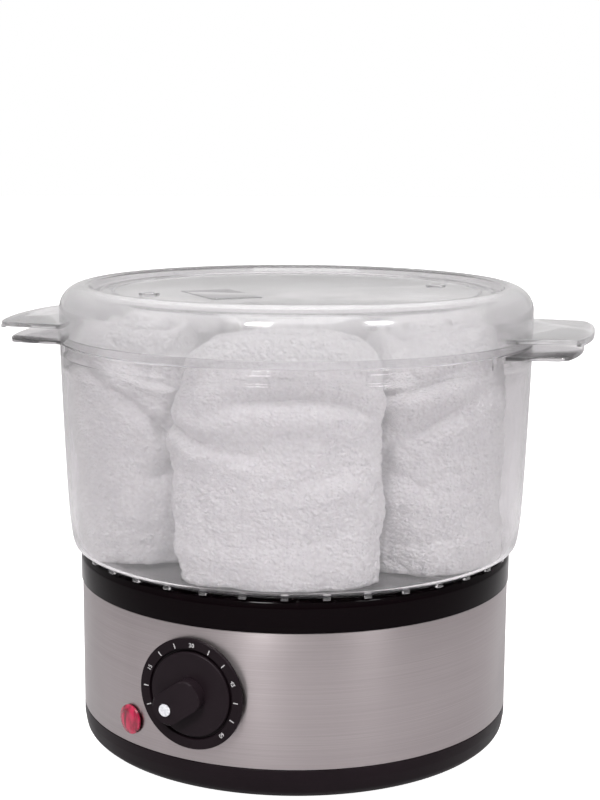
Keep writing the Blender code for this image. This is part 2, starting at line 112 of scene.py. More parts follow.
LAMP_AZ = math.degrees(math.atan2(LAMP[Y], LAMP[X]))
CLOTH = 305.0                 # a 12 inch face cloth, square
FINE = 180                    # segments of the large turned shapes


# ---- node helpers ----
def new_material(name, colour, roughness, **values):
    """A Principled material; uniform values go straight onto the shader's own sockets."""
    mat = bpy.data.materials.new(name)
    mat.use_nodes = True
    shader = mat.node_tree.nodes["Principled BSDF"]
    shader.inputs["Base Color"].default_value = (*colour, 1.0)
    shader.inputs["Roughness"].default_value = roughness
    for socket, value in values.items():
        shader.inputs[socket.replace("_", " ")].default_value = value
    return mat


def add(mat, kind, **values):
    """A new node, each value set as its property or as a socket's default."""
    node = mat.node_tree.nodes.new(kind)
    for key, value in values.items():
        if hasattr(node, key):
            setattr(node, key, value)
        else:
            node.inputs[key.replace("_", " ")].default_value = value
    return node


def link(mat, output, socket):
    """Join an output to a socket."""
    mat.node_tree.links.new(output, socket)


def place(mat, stretch=(1, 1, 1)):
    """The surface point in object space, stretched per axis."""
    coords = add(mat, "ShaderNodeTexCoord")
    mapping = add(mat, "ShaderNodeMapping", Scale=stretch)
    link(mat, coords.outputs["Object"], mapping.inputs["Vector"])
    return mapping.outputs["Vector"]


def grain(mat, size, detail=2.0, stretch=(1, 1, 1), distortion=0.0):
    """Noise with features of about `size` mm."""
    tex = add(mat, "ShaderNodeTexNoise", Scale=1 / (size * MM), Detail=detail,
              Distortion=distortion)
    link(mat, place(mat, stretch), tex.inputs["Vector"])
    return tex.outputs["Fac"]


def cells(mat, size, stretch=(1, 1, 1)):
    """Voronoi cells about `size` mm across."""
    tex = add(mat, "ShaderNodeTexVoronoi", Scale=1 / (size * MM))
    link(mat, place(mat, stretch), tex.inputs["Vector"])
    return tex.outputs["Distance"]


def spread(mat, value, low, high, to_low, to_high):
    """Maps value from low..high to to_low..to_high, clamped."""
    node = add(mat, "ShaderNodeMapRange")
    for key, number in zip(("From Min", "From Max", "To Min", "To Max"),
                           (low, high, to_low, to_high)):
        node.inputs[key].default_value = number
    link(mat, value, node.inputs["Value"])
    return node.outputs["Result"]


def tint(mat, value, dark, light, low=0.3, high=0.7):
    """Base colour that runs from dark to light with value."""
    ramp = add(mat, "ShaderNodeValToRGB")
    ramp.color_ramp.elements[0].position = low
    ramp.color_ramp.elements[0].color = (*dark, 1.0)
    ramp.color_ramp.elements[1].position = high
    ramp.color_ramp.elements[1].color = (*light, 1.0)
    link(mat, value, ramp.inputs["Fac"])
    link(mat, ramp.outputs["Color"], mat.node_tree.nodes["Principled BSDF"].inputs["Base Color"])


def rough(mat, value, smoothest, roughest, low=0.3, high=0.7):
    """Roughness that runs from smoothest to roughest with value."""
    out = spread(mat, value, low, high, smoothest, roughest)
    link(mat, out, mat.node_tree.nodes["Principled BSDF"].inputs["Roughness"])


def bump(mat, *layers):
    """Layers of (height value, depth in mm, strength), the finest last."""
    normal = None
    for height, depth, strength in layers:
        node = add(mat, "ShaderNodeBump", Strength=strength, Distance=depth * MM)
        link(mat, height, node.inputs["Height"])
        if normal is not None:
            link(mat, normal, node.inputs["Normal"])
        normal = node.outputs["Normal"]
    link(mat, normal, mat.node_tree.nodes["Principled BSDF"].inputs["Normal"])


# ---- materials ----
def clear_plastic(name, shade, clearness, clearest, haziest):
    """Clear moulded plastic with faint flow waves and wiping haze, a little milky."""
    mat = new_material(name, shade, clearest, Transmission_Weight=clearness, IOR=1.50)
    rough(mat, grain(mat, 26, 3.0), clearest, haziest)
    bump(mat, (grain(mat, 18, 1.0), 0.05, 0.35), (grain(mat, 3.5, 2.0), 0.004, 0.4))
    return mat


def brushed_steel():
    """Stainless sheet brushed round the base, with long fine scratches."""
    mat = new_material("brushed_stainless", (0.325, 0.295, 0.296), 0.34, Metallic=1.0,
                       Anisotropic=0.8, Anisotropic_Rotation=0.25)
    lines = grain(mat, 1.0, 3.0, (0.018, 0.018, 6.0))
    hair = grain(mat, 1.0, 2.0, (0.008, 0.008, 3.0))
    patches = grain(mat, 40, 2.0)
    tint(mat, lines, (0.290, 0.259, 0.262), (0.348, 0.314, 0.317), 0.25, 0.75)
    rough(mat, patches, 0.28, 0.36)
    bump(mat, (hair, 0.006, 0.4), (lines, 0.003, 0.5))
    return mat


def gloss_black():
    """Polished black moulding with a trace of orange peel and dust."""
    mat = new_material("black_gloss_moulding", (0.0016, 0.0006, 0.001), 0.08,
                       Specular_IOR_Level=0.04)
    rough(mat, grain(mat, 14, 4.0), 0.05, 0.11)
    bump(mat, (grain(mat, 4.0, 2.0), 0.006, 0.2))
    return mat


def satin_black(name, shade, smoothest, roughest):
    """Black plastic with a fine spark-eroded mould texture."""
    mat = new_material(name, shade, smoothest, Specular_IOR_Level=0.075)
    patches = grain(mat, 22, 3.0)
    tint(mat, patches, tuple(c * 0.85 for c in shade), tuple(c * 1.2 for c in shade))
    rough(mat, patches, smoothest, roughest)
    bump(mat, (cells(mat, 0.45), 0.02, 0.35), (grain(mat, 0.22, 2.0), 0.015, 0.5))
    return mat


def printed_white():
    """Thin white pad-printed ink, a little uneven."""
    mat = new_material("printed_white_ink", (0.34, 0.33, 0.335), 0.5)
    tint(mat, grain(mat, 0.5, 3.0), (0.16, 0.155, 0.158), (0.40, 0.39, 0.395), 0.3, 0.6)
    bump(mat, (grain(mat, 0.3, 2.0), 0.01, 0.4))
    return mat


def white_insert():
    """White moulded insert, faintly mottled."""
    mat = new_material("white_pointer_insert", (0.50, 0.50, 0.52), 0.4)
    tint(mat, grain(mat, 1.2, 3.0), (0.34, 0.34, 0.36), (0.56, 0.56, 0.58))
    bump(mat, (grain(mat, 0.8, 2.0), 0.02, 0.4))
    return mat


def red_lens():
    """Translucent red lens with fine flutes on its inside; painted shade puts darker upright
    streaks of flute shading into its red.
    """
    mat = new_material("red_lamp_lens", (0.50, 0.012, 0.065), 0.16, Transmission_Weight=0.35,
                       IOR=1.50)
    # painted shade: noise stretched upright paints darker vertical streaks of flute shading into
    # the red
    tint(mat, grain(mat, 2.4, 2.0, (1, 1, 0.3)), (0.17, 0.002, 0.018), (0.50, 0.014, 0.068), 0.38,
         0.56)
    rough(mat, grain(mat, 5.0, 2.0), 0.10, 0.22)
    bump(mat, (grain(mat, 0.9, 1.0, (1, 1, 0.2)), 0.05, 0.4))
    return mat


def rubber():
    """Dull dark rubber with a powdery skin."""
    mat = new_material("grey_rubber_foot", (0.035, 0.034, 0.035), 0.8)
    tint(mat, grain(mat, 2.0, 4.0), (0.025, 0.024, 0.025), (0.055, 0.053, 0.055))
    rough(mat, grain(mat, 3.0, 3.0), 0.65, 0.9)
    bump(mat, (grain(mat, 0.4, 3.0), 0.04, 0.6))
    return mat


def metal(name, dark, light, smoothest, roughest, size):
    """Plated or cast metal with mottling of about `size` mm."""
    mat = new_material(name, light, smoothest, Metallic=1.0)
    mottle = grain(mat, size, 4.0)
    tint(mat, mottle, dark, light)
    rough(mat, mottle, smoothest, roughest)
    bump(mat, (grain(mat, size / 4, 3.0), 0.02, 0.4))
    return mat


def moulded(name, dark, light, smoothest, roughest):
    """Plain technical moulding with flow marks and a dull skin."""
    mat = new_material(name, light, smoothest)
    flow = grain(mat, 6.0, 3.0, (1, 1, 0.5), 0.6)
    tint(mat, flow, dark, light)
    rough(mat, flow, smoothest, roughest)
    bump(mat, (grain(mat, 0.6, 2.0), 0.02, 0.5))
    return mat


def terry():
    """White cotton terry: loops about 1.7 mm across, fluffy, in uneven tufts, soft sheen; painted
    shade darkens the gaps between the loops.
    """
    mat = new_material("white_cotton_terry", (0.86, 0.85, 0.855), 0.95, Sheen_Weight=0.2,
                       Sheen_Roughness=0.5, Specular_IOR_Level=0.2)
    loops = cells(mat, 1.7, (1, 1, 1.2))
    fluff = grain(mat, 0.9, 3.0)
    tufts = grain(mat, 4.0, 4.0, (1, 1, 1.2), 1.2)
    # painted shade: the colour darkens from each loop's middle to the gaps between the loops
    tint(mat, loops, (0.96, 0.955, 0.96), (0.83, 0.815, 0.822), 0.15, 0.95)
    rough(mat, tufts, 0.88, 1.0)
    bump(mat, (tufts, 2.2, 0.6), (spread(mat, loops, 0.0, 1.0, 1.0, 0.0), 1.0, 0.6),
         (fluff, 0.5, 0.6))
    return mat


CLEAR_BOWL = clear_plastic("clear_bowl_plastic", (0.87, 0.855, 0.867), 0.97, 0.02, 0.09)
HAZY_LID = clear_plastic("hazy_lid_plastic", (0.81, 0.802, 0.81), 0.92, 0.06, 0.15)
STEEL = brushed_steel()
BLACK_GLOSS = gloss_black()
BLACK_SATIN = satin_black("black_satin_moulding", (0.0060, 0.0034, 0.0047), 0.34, 0.44)
KNOB_BLACK = satin_black("black_knob_moulding", (0.0080, 0.0050, 0.0066), 0.40, 0.50)
INK = printed_white()
WHITE_INSERT = white_insert()
RED = red_lens()
RUBBER = rubber()
ZINC = metal("zinc_plate", (0.46, 0.45, 0.40), (0.66, 0.66, 0.64), 0.25, 0.42, 3.0)
ALUMINIUM = metal("cast_aluminium", (0.52, 0.53, 0.54), (0.68, 0.69, 0.70), 0.32, 0.5, 5.0)
PHENOLIC = moulded("brown_phenolic_moulding", (0.07, 0.035, 0.02), (0.13, 0.07, 0.04), 0.4, 0.6)
NYLON = moulded("natural_nylon_moulding", (0.60, 0.57, 0.50), (0.74, 0.72, 0.66), 0.42, 0.6)
SILICONE = moulded("white_silicone_seal", (0.70, 0.68, 0.64), (0.82, 0.80, 0.76), 0.5, 0.7)
TERRY = terry()


# ---- mesh helpers ----
SMOOTH_ANGLE = 32.0           # edges that turn more than this stay sharp, degrees


def rounded(corners, step=15.0):
    """A closed (r, z) outline from (r, z, fillet radius) corners, the fillets as arcs."""
    points = []
    for i, (r, z, fillet) in enumerate(corners):
        here = Vector((r, z))
        back = Vector(corners[i - 1][:2]) - here
        on = Vector(corners[(i + 1) % len(corners)][:2]) - here
        half = back.angle(on, math.pi) / 2
        if fillet <= 0 or half > 1.5:
            points.append((r, z))
            continue
        cut = min(fillet / math.tan(half), 0.48 * back.length, 0.48 * on.length)
        radius = cut * math.tan(half)
        middle = here + (back.normalized() + on.normalized()).normalized() * radius / math.sin(half)
        start = here + back.normalized() * cut - middle
        end = here + on.normalized() * cut - middle
        sweep = math.atan2(start.x * end.y - start.y * end.x, start.dot(end))
        count = max(2, math.ceil(abs(math.degrees(sweep)) / step))
        for k in range(count + 1):
            turn = sweep * k / count
            c, s = math.cos(turn), math.sin(turn)
            points.append((middle.x + start.x * c - start.y * s,
                           middle.y + start.x * s + start.y * c))
    return points


def turned(bm, outline, segments, start=0.0, reshape=None):
    """Add the solid turned from a closed (r, z) outline about local Z, from azimuth `start`."""
    rings = []
    for r, z in outline:
        if r < 1e-6:
            rings.append([bm.verts.new((0.0, 0.0, z * MM))])
            continue
        ring = []
        for i in range(segments):
            azimuth = start + 360.0 * i / segments
            radius = reshape(r, z, azimuth) if reshape else r
            a = math.radians(azimuth)
            ring.append(bm.verts.new((radius * MM * math.cos(a), radius * MM * math.sin(a),
                                      z * MM)))
        rings.append(ring)
    for a, b in zip(rings, rings[1:] + rings[:1]):
        for i in range(segments):
            j = (i + 1) % segments
            if len(a) > 1 and len(b) > 1:
                bm.faces.new((a[i], a[j], b[j], b[i]))
            elif len(a) > 1:
                bm.faces.new((a[i], a[j], b[0]))
            elif len(b) > 1:
                bm.faces.new((a[0], b[j], b[i]))


def slab(bm, outline, z0, z1, edge=0.0, steps=3):
    """Add the solid between z0 and z1 over an (x, y) outline, top and bottom edges rounded."""
    low = [bm.verts.new((x * MM, y * MM, z0 * MM)) for x, y in outline]
    high = [bm.verts.new((x * MM, y * MM, z1 * MM)) for x, y in outline]
    caps = [bm.faces.new(list(reversed(low))), bm.faces.new(high)]
    for i in range(len(outline)):
        j = (i + 1) % len(outline)
        bm.faces.new((low[i], low[j], high[j], high[i]))
    if edge:
        edges = {e for f in caps for e in f.edges}
        bmesh.ops.bevel(bm, geom=list(edges), offset=edge * MM, segments=steps, profile=0.5,
                        affect="EDGES", clamp_overlap=True)


def box(bm, size, at, turn):
    """Add a block of `size` centred at `at`, then turned about the main axis."""
    rot = Matrix.Rotation(math.radians(turn), 4, "Z")
    for v in bmesh.ops.create_cube(bm, size=MM)["verts"]:
        v.co = rot @ (Vector([c * s for c, s in zip(v.co, size)]) + Vector(at) * MM)


def linked(name, data):
    """A new object in the scene."""
    ob = bpy.data.objects.new(name, data)
    bpy.context.scene.collection.objects.link(ob)
    return ob


def smooth(mesh, angle):
    """Smooth shading, with the edges sharper than the angle kept sharp."""
    mesh.polygons.foreach_set("use_smooth", [True] * len(mesh.polygons))
    mesh.set_sharp_from_angle(angle=math.radians(angle))


def to_object(name, bm, mat, at=None, angle=SMOOTH_ANGLE):
    """Make a smooth-shaded object of bm, moved by matrix `at` first."""
    if at is not None:
        bmesh.ops.transform(bm, matrix=at, verts=bm.verts)
    bmesh.ops.remove_doubles(bm, verts=bm.verts, dist=1e-7)
    bmesh.ops.recalc_face_normals(bm, faces=bm.faces)
    mesh = bpy.data.meshes.new(name)
    bm.to_mesh(mesh)
    bm.free()
    smooth(mesh, angle)
    mesh.materials.append(mat)
    return linked(name, mesh)


def combine(ob, tool, operation):
    """Union with, or cut by, a tool object, which is then removed."""
    mod = ob.modifiers.new("shape", "BOOLEAN")
    mod.operation, mod.solver, mod.object = operation, "EXACT", tool
    applied(ob)
    bpy.data.objects.remove(tool)


def applied(ob, angle=SMOOTH_ANGLE):
    """Apply ob's modifiers to its mesh and set its smooth shading again."""
    evaluated = ob.evaluated_get(bpy.context.evaluated_depsgraph_get())
    mesh = bpy.data.meshes.new_from_object(evaluated)
    ob.modifiers.clear()
    ob.data = mesh
    smooth(mesh, angle)
    return ob


def shown(ob, body, slot, *nodes):
    """The piece rides on a body and stands for CAD nodes, which are hidden; slot is not used."""
    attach(ob, body)
    if nodes:
        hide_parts(*nodes)
    return ob


def out_of_side(azimuth, height):
    """Local X points right, Y up and Z outward at an azimuth; local z is the distance out."""
    a = math.radians(azimuth)
    out = Vector((math.cos(a), math.sin(a), 0.0))
    right = Vector((-out.y, out.x, 0.0))
    at = Matrix.Identity(4)
    at.col[0][:3], at.col[1][:3], at.col[2][:3] = right, (0, 0, 1), out
    at.col[3][:3] = (0, 0, height * MM)
    return at


FRONT = out_of_side(-90.0, DIAL_Z)


# ---- base ----
# Round pockets in the cover's underside: distance out, radius, lowest and highest z
COVER_POCKETS = ((80.0, 7.4, -1, 2.1),                # rubber feet
                 (62.0, 4.0, -1, 2.0),                # screw heads
                 (62.0, 1.9, 1.5, 9))                 # screw holes
AIR_SLOTS, SLOT_PITCH = 5, 8.0                        # air slots on each side of the middle


def bottom_cover():
    """Black cover with pockets for feet and screws, and air slots."""
    bm = bmesh.new()
    turned(bm, rounded([
        (BASE_R, BAND_LO - CLEAR, 0.3), (BASE_R, 9.0, 4.0), (97.6, 3.4, 4.0),
        (94.6, COVER_LO, 2.0), (0, COVER_LO, 0), (0, 3.3, 0), (93.8, 3.3, 2.0),
        (95.9, 6.4, 1.5), (95.9, 16.6, 0.4), (97.5, 16.6, 0.4), (97.5, BAND_LO - CLEAR, 0)]), FINE)
    cover = to_object("bottom_cover_shell", bm, BLACK_SATIN)
    bm = bmesh.new()
    for k in range(4):
        turn = Matrix.Rotation(math.radians(45 + 90 * k), 4, "Z")
        for ring, radius, low, high in COVER_POCKETS:
            at = turn @ Matrix.Translation((ring * MM, 0, (low + high) / 2 * MM))
            bmesh.ops.create_cone(bm, cap_ends=True, segments=48, radius1=radius * MM,
                                  radius2=radius * MM, depth=(high - low) * MM, matrix=at)
    combine(cover, to_object("pocket_tool", bm, BLACK_SATIN), "DIFFERENCE")
    bm = bmesh.new()
    for side in (-1, 1):
        for k in range(AIR_SLOTS):
            slot_y = side * (SLOT_PITCH * (k + 1) - SLOT_PITCH / 2)
            slab(bm, stadium(15.0, 1.3, 8, (0, slot_y)), -2, 8)
    combine(cover, to_object("slot_tool", bm, BLACK_SATIN), "DIFFERENCE")
    return shown(cover, "base", "black_satin_plastic", "bottom_cover")


def stadium(half_length, radius, steps, at=(0.0, 0.0)):
    """Outline of a slot with round ends along X."""
    points = []
    for side in (1, -1):
        for k in range(steps + 1):
            a = math.pi * (k / steps - 0.5)
            x = side * (half_length - radius + radius * math.cos(a))
            points.append((at[0] + x, at[1] + side * radius * math.sin(a)))
    return points


def steel_band():
    """The band round the base, with holes for the timer, the lamp and the cord."""
    bm = bmesh.new()
    turned(bm, rounded([(BASE_R, BAND_LO, 0.12), (BASE_R, BAND_HI, 0.12),
                        (BASE_R - BAND_T, BAND_HI, 0.12), (BASE_R - BAND_T, BAND_LO, 0.12)], 30),
           FINE)
    band = to_object("steel_band_sheet", bm, STEEL)
    bm = bmesh.new()
    for azimuth, height, radius in ((-90.0, DIAL_Z, 5.0), (LAMP_AZ, LAMP[Z], 4.6),
                                    (90.0, GLAND[Z], 5.4)):
        at = out_of_side(azimuth, height) @ Matrix.Translation((0, 0, BASE_R * MM))
        bmesh.ops.create_cone(bm, cap_ends=True, segments=48, radius1=radius * MM,
                              radius2=radius * MM, depth=14 * MM, matrix=at)
    combine(band, to_object("hole_tool", bm, STEEL), "DIFFERENCE")
    return shown(band, "base", "brushed_steel", "steel_band")


def rim_and_basin():
    """The glossy rim the bowl stands on, and the water basin inside it."""
    low = BAND_HI + CLEAR
    bm = bmesh.new()
    turned(bm, rounded([
        (RIM_R, low, 0.25), (RIM_R, 83.4, 2.5), (98.0, 86.0, 2.0), (95.2, RIM_TOP, 1.5),
        (SEAM_R, RIM_TOP, 0.3), (SEAM_R, 84.2, 0.3), (93.6, 84.3, 1.0), (96.0, 82.4, 1.0),
        (96.0, 66.6, 0.3), (97.5, 66.6, 0.3), (97.5, low, 0)]), FINE)
    shown(to_object("black_gloss_rim", bm, BLACK_GLOSS), "base", "black_gloss_plastic",
          "gloss_rim")
    bm = bmesh.new()
    turned(bm, rounded([
        (SEAM_R - CLEAR, RIM_TOP, 0.3), (90.0, RIM_TOP, 1.2), (88.7, 85.4, 1.5), (78.5, 70.6, 5.0),
        (75.6, 67.4, 4.0), (71.6, BASIN_FLOOR, 4.0), (22.0, BASIN_FLOOR, 0.3), (22.0, 63.6, 0.3),
        (73.0, 63.6, 3.0), (77.6, 66.0, 2.0), (80.6, 69.4, 4.0), (90.6, 83.6, 1.0),
        (SEAM_R - CLEAR, 84.0, 0.3)]), FINE)
    shown(to_object("black_water_basin", bm, BLACK_GLOSS), "base", "black_gloss_plastic",
          "water_basin")


def feet():
    """Four rubber pads, each with a ring groove on its sole."""
    for k in range(4):
        at = centre(f"rubber_foot_{k + 1}")
        bm = bmesh.new()
        turned(bm, rounded([(0, 0, 0), (7.0, 0, 0.7), (7.0, 1.8, 0.2), (0, 1.8, 0)]), 56)
        turned(bm, rounded([(3.4, -0.001, 0.1), (4.2, -0.001, 0.1), (4.2, 0.3, 0), (3.4, 0.3, 0)]),
               56)
        foot = to_object(f"foot_pad_{k + 1}", bm, RUBBER,
                         Matrix.Translation((at[X] * MM, at[Y] * MM, 0)))
        shown(foot, "base", "grey_rubber", f"rubber_foot_{k + 1}")


# ---- timer dial, knob, lamp, gland ----
def dial_ring():
    """The dial's flange and sunk face, cut to the curve of the band behind it."""
    bm = bmesh.new()
    turned(bm, rounded([
        (DIAL_R, DIAL_BACK, 0.2), (DIAL_R, DIAL_OUT, 0.5), (19.5, DIAL_OUT, 0.3),
        (19.3, DIAL_DISH, 0.3), (4.6, DIAL_DISH, 0.3), (4.6, BOSS_BACK, 0),
        (DIAL_BOSS, BOSS_BACK, 0), (DIAL_BOSS, DIAL_BACK, 0)], 18), 128)
    dial = to_object("timer_dial_ring", bm, BLACK_SATIN, FRONT)
    bm = bmesh.new()
    turned(bm, [(0, 10), (BASE_R + CLEAR, 10), (BASE_R + CLEAR, 80), (0, 80)], 192)
    combine(dial, to_object("band_clearance", bm, BLACK_SATIN), "DIFFERENCE")
    return shown(dial, "base", "black_satin_plastic", "dial_plate")


MINUTE_ZERO = 227.5           # "off", degrees clockwise from straight up
MINUTE_STEP = 22.4            # degrees for five minutes
MARK_R = (19.95, 22.25)       # inner and outer end of a printed line
NUMERAL_SIZE, NUMERAL_RISE = 2.5, 0.035


def dial_marks():
    """Printed lines every five minutes and numerals every fifteen, on the dial ring."""
    parts = []
    for k in range(1, 13):
        angle = math.radians(MINUTE_ZERO + MINUTE_STEP * k)
        at = FRONT @ Matrix.Rotation(-angle, 4, "Z")
        if k % 3:
            bm = bmesh.new()
            middle, length = sum(MARK_R) / 2, MARK_R[1] - MARK_R[0]
            slab(bm, [(x, y + middle) for y, x in stadium(length / 2, 0.22, 4)],
                 DIAL_OUT, DIAL_OUT + 0.07, 0.02, 1)
            parts.append(to_object("mark", bm, INK, at))
        else:
            parts.append(numeral(str(5 * k), at))
    marks = joined("dial_marks", parts)
    return shown(marks, "base", "white_mark")


def numeral(text, at):
    """A raised numeral, upright towards the rim, as a mesh."""
    curve = bpy.data.curves.new("numeral", "FONT")
    curve.body = text
    curve.size = NUMERAL_SIZE * MM
    curve.extrude = NUMERAL_RISE * MM
    curve.offset = 0.03 * MM
    curve.align_x, curve.align_y = "CENTER", "CENTER"
    source = linked("numeral", curve)
    mesh = bpy.data.meshes.new_from_object(
        source.evaluated_get(bpy.context.evaluated_depsgraph_get()))
    bpy.data.objects.remove(source)
    middle = sum(MARK_R) / 2
    mesh.transform(at @ Matrix.Translation((0, middle * MM, (DIAL_OUT + NUMERAL_RISE) * MM)))
    mesh.materials.clear()
    mesh.materials.append(INK)
    return linked("numeral", mesh)


def joined(name, parts):
    """One object of several meshes that share a material."""
    bm = bmesh.new()
    for part in parts:
        bm.from_mesh(part.data)
    mat = parts[0].data.materials[0]
    for part in parts:
        bpy.data.objects.remove(part)
    mesh = bpy.data.meshes.new(name)
    bm.to_mesh(mesh)
    bm.free()
    mesh.materials.append(mat)
    return linked(name, mesh)


GRIP_FRONT, GRIP_BACK = 16.4, 7.0     # the grip bar's reach from the axis
GRIP_SIDE = 6.9                       # its half width
DOT_R, DOT_REACH = 2.72, 11.4         # the dot's radius and distance from the axis


def knob():
    """Round skirt with a rounded bar across it; the pointer dot sits in a pocket."""
    turn = FRONT @ Matrix.Rotation(-POINT_AT, 4, "Z")
    bm = bmesh.new()
    turned(bm, rounded([
        (0, KNOB_BACK, 0), (KNOB_R, KNOB_BACK, 0.2), (KNOB_R, SKIRT_OUT - 0.15, 0.7),
        (15.5, SKIRT_OUT, 1.0), (0, SKIRT_OUT, 0)]), 128)
    ob = to_object("timer_knob", bm, KNOB_BLACK, turn)
    outline = []
    for k in range(17):
        a = math.pi * k / 16
        outline.append((GRIP_SIDE * math.cos(a),
                        GRIP_FRONT - GRIP_SIDE * 0.62 * (1 - math.sin(a))))
    for k in range(17):
        a = math.pi * (1 + k / 16)
        outline.append((GRIP_SIDE * math.cos(a),
                        -GRIP_BACK + GRIP_SIDE * 0.8 * (1 + math.sin(a))))
    bm = bmesh.new()
    slab(bm, outline, 101.0, KNOB_OUT, 1.0, 4)
    combine(ob, to_object("bar", bm, KNOB_BLACK, turn), "UNION")
    pocket = bmesh.new()
    turned(pocket, [(0, KNOB_OUT - 0.8), (DOT_R + 0.23, KNOB_OUT - 0.8),
                    (DOT_R + 0.23, KNOB_OUT + 2), (0, KNOB_OUT + 2)], 48)
    at = turn @ Matrix.Translation((0, DOT_REACH * MM, 0))
    combine(ob, to_object("pocket", pocket, KNOB_BLACK, at), "DIFFERENCE")
    bore = bmesh.new()
    turned(bore, [(0, 99.0), (3.4, 99.0), (3.4, 104.6), (0, 104.6)], 48)
    combine(ob, to_object("bore", bore, KNOB_BLACK, turn), "DIFFERENCE")
    shown(ob, "knob", "black_satin_plastic", "knob")

    bm = bmesh.new()
    turned(bm, rounded([(0, KNOB_OUT - 0.55, 0), (DOT_R, KNOB_OUT - 0.55, 0),
                        (DOT_R, KNOB_OUT - 0.02, 0.25), (0, KNOB_OUT + 0.05, 0)]), 48)
    dot = to_object("pointer_dot_insert", bm, WHITE_INSERT, at)
    shown(dot, "knob", "white_mark", "pointer_dot")


def lamp():
    """Pilot lamp lens: a collar with a low dome."""
    at = out_of_side(LAMP_AZ, LAMP[Z])
    bm = bmesh.new()
    turned(bm, rounded([
        (0, 90.0, 0), (4.0, 90.0, 0.3), (4.0, 98.9, 0), (6.45, 98.9, 0.15), (6.45, 99.9, 0.5),
        (4.2, 101.0, 3.0), (0, 101.35, 0)], 12), 72)
    lens = to_object("pilot_lamp_lens", bm, RED, at)
    return shown(lens, "base", "red_lens", "lamp_lens")


def gland():
    """Cord gland at the back, with flexing grooves."""
    at = out_of_side(90.0, GLAND[Z])
    outline = [(3.4, 90.0, 0.2), (4.9, 90.0, 0.4), (4.9, 98.9, 0.2), (7.4, 98.9, 0.3),
               (7.4, 100.6, 0.8), (6.4, 101.4, 0.6)]
    for k in range(3):                                # flexing grooves of the strain relief
        z = 102.0 + 1.4 * k
        outline += [(6.0 - 0.3 * k, z, 0.2), (5.3 - 0.3 * k, z + 0.4, 0.2),
                    (5.3 - 0.3 * k, z + 0.8, 0.2)]
    outline += [(5.0, 106.2, 0.4), (3.4, 106.2, 0.3)]
    bm = bmesh.new()
    turned(bm, rounded(outline), 64)
    ob = to_object("cord_gland_bush", bm, BLACK_SATIN, at)
    return shown(ob, "base", "black_satin_plastic", "cord_gland")


# ---- bowl ----
WALL_FROM, WALL_TO = BOWL_FLOOR_Z + 4.4, LEDGE_Z - 5.6      # height of the bowl's plain wall


def bowl_radius(z):
    """Outside of the bowl's wall: flares quickly at the foot, then stands almost upright."""
    t = min(max((z - WALL_FROM) / (WALL_TO - WALL_FROM), 0.0), 1.0)
    return BOWL_R_FOOT + (BOWL_R - 0.25 - BOWL_R_FOOT) * t ** 0.6


def grip_outline(r_in, r_tip, turn):
    """Outline of one grip: almost parallel sides, the tip an arc about the main axis."""
    w0, w1 = GRIP_HALF
    tip = math.asin(w1 / r_tip)
    points = [(math.sqrt(r_in ** 2 - w0 ** 2), -w0)]
    corner, steps = 3.4, 8
    for side in (-1, 1):
        x, y = r_tip * math.cos(tip) - corner, side * (w1 - corner + 0.6)
        ring = []
        for k in range(steps + 1):
            a = math.pi / 2 * k / steps
            ring.append((x + corner * math.sin(a), y + side * corner * math.cos(a)))
        if side < 0:
            points += ring
            for k in range(1, 24):
                a = tip * 0.93 * (k / 12 - 1)
                points.append((r_tip * math.cos(a), r_tip * math.sin(a)))
        else:
            points += list(reversed(ring))
    points.append((math.sqrt(r_in ** 2 - w0 ** 2), w0))
    for k in range(1, 12):
        a = math.asin(w0 / r_in) * (1 - k / 6.0)
        points.append((r_in * math.cos(a), r_in * math.sin(a)))
    c, s = math.cos(math.radians(turn)), math.sin(math.radians(turn))
    return [(x * c - y * s, x * s + y * c) for x, y in points]


BAND_GAP = 28.0               # the ledge band stops this far to each side of a grip, degrees


def from_grip(azimuth):
    """Angle from the nearer grip's axis, degrees."""
    return abs((azimuth - TURN + 90.0) % 180.0 - 90.0)


def ledge_band(r, z, azimuth):
    """The proud band under the ledge is left out beside the grips."""
    proud = BOWL_R - 0.25
    return proud if r > proud and from_grip(azimuth) < BAND_GAP else r


# Steam slots in the bowl's floor: how many, distance out, half length
STEAM_SLOTS = ((12, 62.0, 11.0), (6, 30.0, 7.0))


